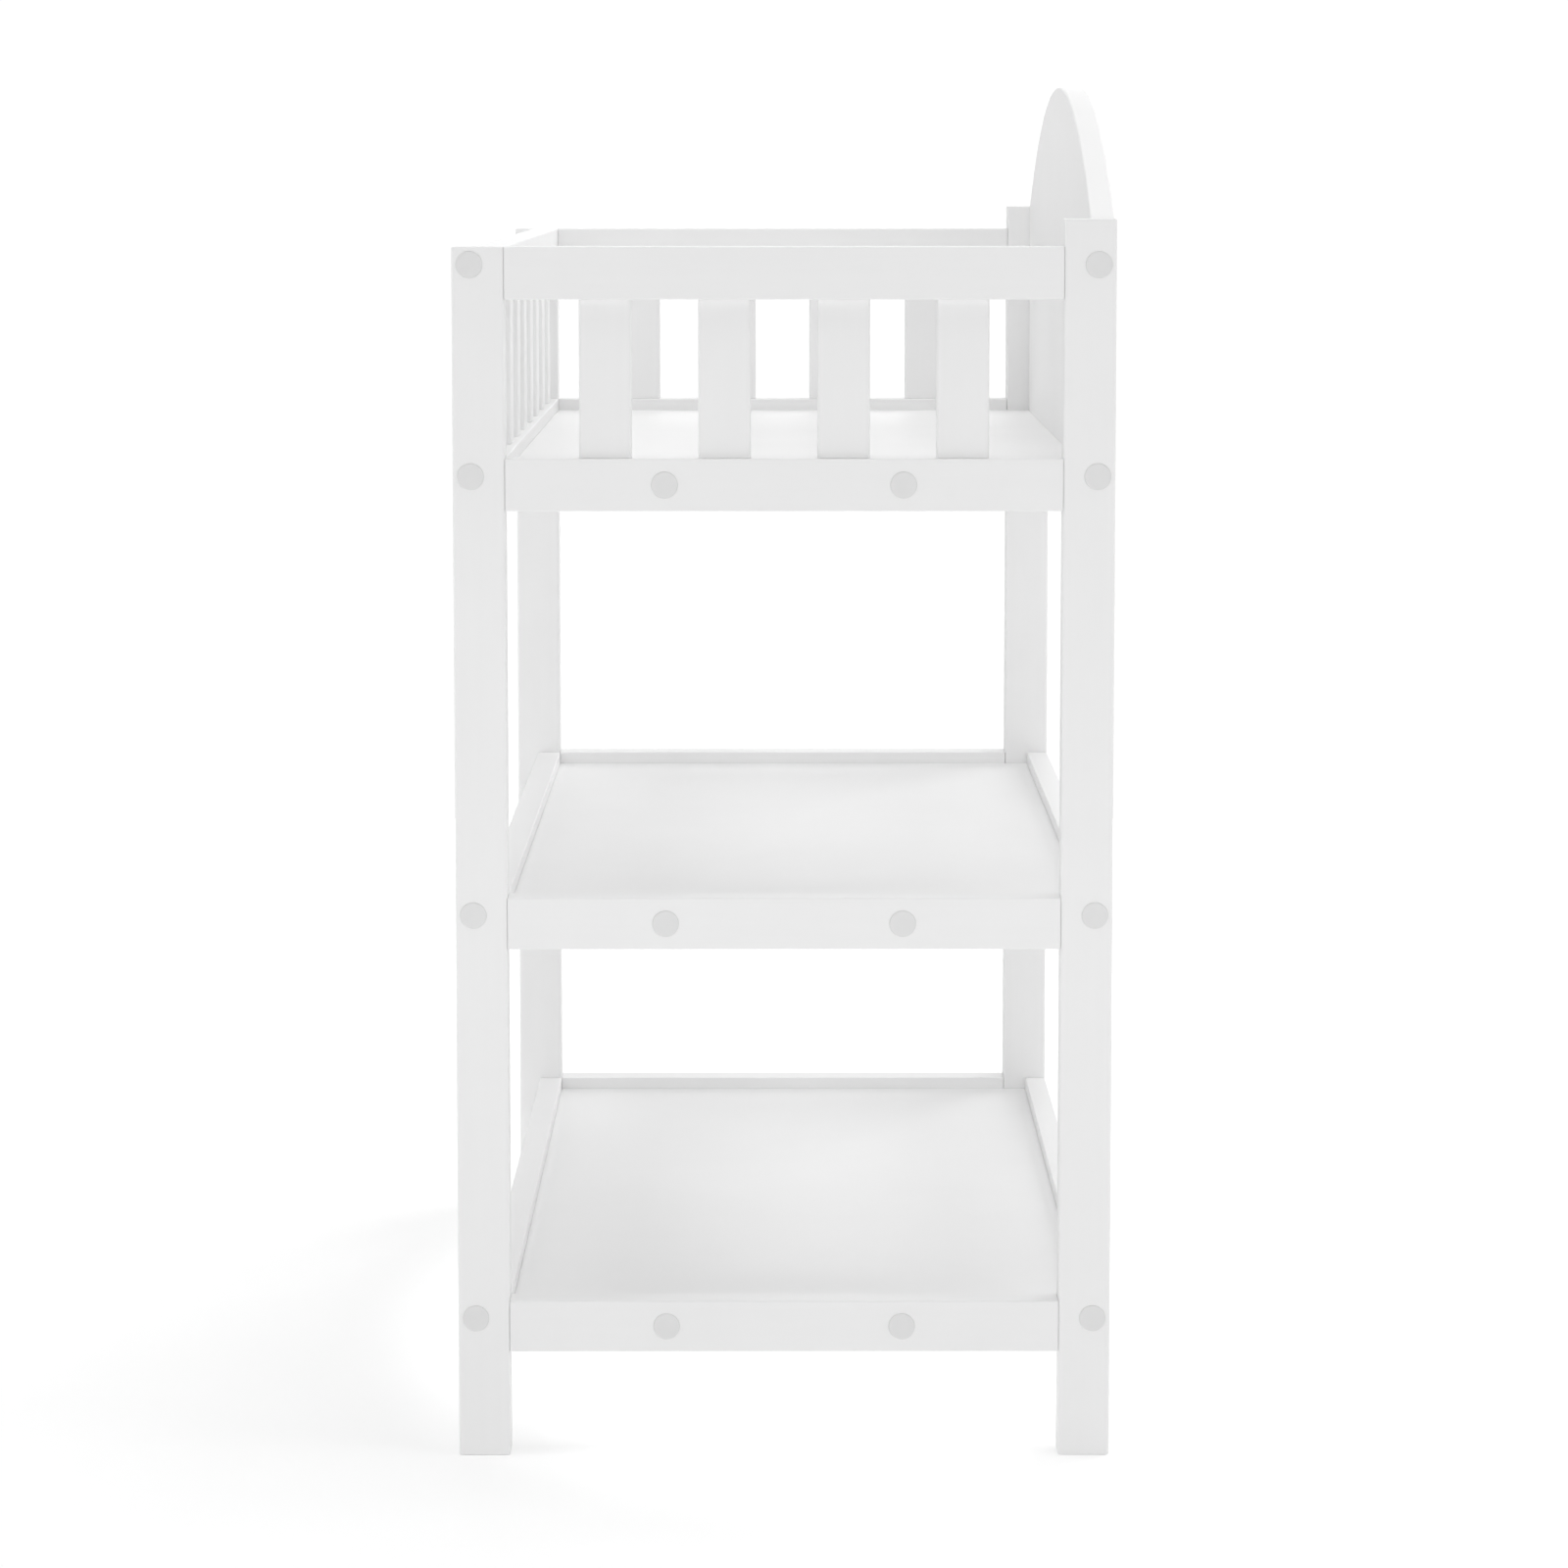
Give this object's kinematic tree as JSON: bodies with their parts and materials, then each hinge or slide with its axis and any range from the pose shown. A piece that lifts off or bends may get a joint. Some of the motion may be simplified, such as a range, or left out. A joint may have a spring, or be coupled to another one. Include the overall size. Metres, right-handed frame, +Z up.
{
  "type": "changing table",
  "caption": "White wooden changing table with slatted ends and front, an arched back panel and open storage shelves below the changing surface.",
  "frame": {"origin": "on the floor, below the middle of the whole object's box", "axes": "+X to the right end, seen from the front; +Y from the slatted front to the panelled back; +Z up"},
  "size_m": [0.8816, 0.48, 1.01],
  "materials": {
    "painted_wood": "satin white paint on solid wood",
    "painted_board": "satin white paint on fibreboard",
    "cover_cap": "light grey moulded plastic cover caps on the bolts",
    "zinc_fitting": "zinc-plated cam and bolt"
  },
  "bodies": {
    "root": {"post_front_right": "painted_wood", "post_front_left": "painted_wood", "post_back_right": "painted_wood", "post_back_left": "painted_wood", "side_rail_top_right": "painted_wood", "side_rail_top_left": "painted_wood", "side_rail_changing_right": "painted_wood", "side_rail_changing_left": "painted_wood", "side_rail_middle_right": "painted_wood", "side_rail_middle_left": "painted_wood", "side_rail_bottom_right": "painted_wood", "side_rail_bottom_left": "painted_wood", "side_slat_1_right": "painted_wood", "side_slat_1_left": "painted_wood", "side_slat_2_right": "painted_wood", "side_slat_2_left": "painted_wood", "side_slat_3_right": "painted_wood", "side_slat_3_left": "painted_wood", "side_slat_4_right": "painted_wood", "side_slat_4_left": "painted_wood", "front_rail_top": "painted_wood", "front_rail_changing": "painted_wood", "front_rail_middle": "painted_wood", "front_rail_bottom": "painted_wood", "front_slat_1": "painted_wood", "front_slat_2": "painted_wood", "front_slat_3": "painted_wood", "front_slat_4": "painted_wood", "front_slat_5": "painted_wood", "front_slat_6": "painted_wood", "front_slat_7": "painted_wood", "front_slat_8": "painted_wood", "back_panel": "painted_board", "back_rail_middle": "painted_wood", "back_rail_bottom": "painted_wood", "board_changing": "painted_board", "board_middle": "painted_board", "board_bottom": "painted_board", "board_bolt_changing_front_right": "cover_cap", "board_bolt_changing_front_left": "cover_cap", "board_bolt_changing_back_right": "cover_cap", "board_bolt_changing_back_left": "cover_cap", "board_bolt_middle_front_right": "cover_cap", "board_bolt_middle_front_left": "cover_cap", "board_bolt_middle_back_right": "cover_cap", "board_bolt_middle_back_left": "cover_cap", "board_bolt_bottom_front_right": "cover_cap", "board_bolt_bottom_front_left": "cover_cap", "board_bolt_bottom_back_right": "cover_cap", "board_bolt_bottom_back_left": "cover_cap", "panel_cam_lower_right": "zinc_fitting", "panel_bolt_lower_right": "zinc_fitting", "panel_cam_lower_left": "zinc_fitting", "panel_bolt_lower_left": "zinc_fitting", "panel_cam_upper_right": "zinc_fitting", "panel_bolt_upper_right": "zinc_fitting", "panel_cam_upper_left": "zinc_fitting", "panel_bolt_upper_left": "zinc_fitting"}
  },
  "joints": []
}
